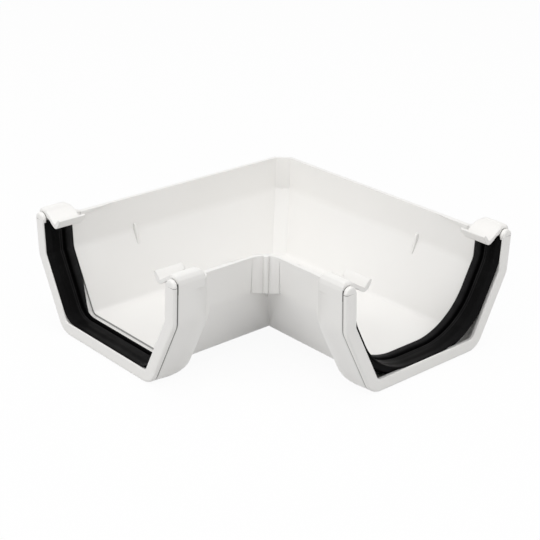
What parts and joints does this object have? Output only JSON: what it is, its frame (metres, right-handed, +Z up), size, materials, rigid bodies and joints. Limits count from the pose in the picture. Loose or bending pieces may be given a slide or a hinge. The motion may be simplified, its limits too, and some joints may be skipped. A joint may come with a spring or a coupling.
{
  "type": "gutter angle",
  "caption": "Square-section rainwater gutter corner: a mitred trough with a flared, sealed snap socket at each end.",
  "frame": {"origin": "middle of the bounding box in plan, at the level of the sockets' undersides", "axes": "+Z up, out of the open trough; one leg runs to +X and the other to -Y, so the outer corner of the L points to -X +Y"},
  "size_m": [0.1914, 0.1914, 0.0711],
  "materials": {
    "white_upvc": "glossy",
    "black_rubber": "satin"
  },
  "bodies": {
    "root": {"angle_body": "white_upvc", "seal_retainer_right": "white_upvc", "seal_retainer_left": "white_upvc", "gutter_seal_right": "black_rubber", "gutter_seal_left": "black_rubber"}
  },
  "joints": []
}
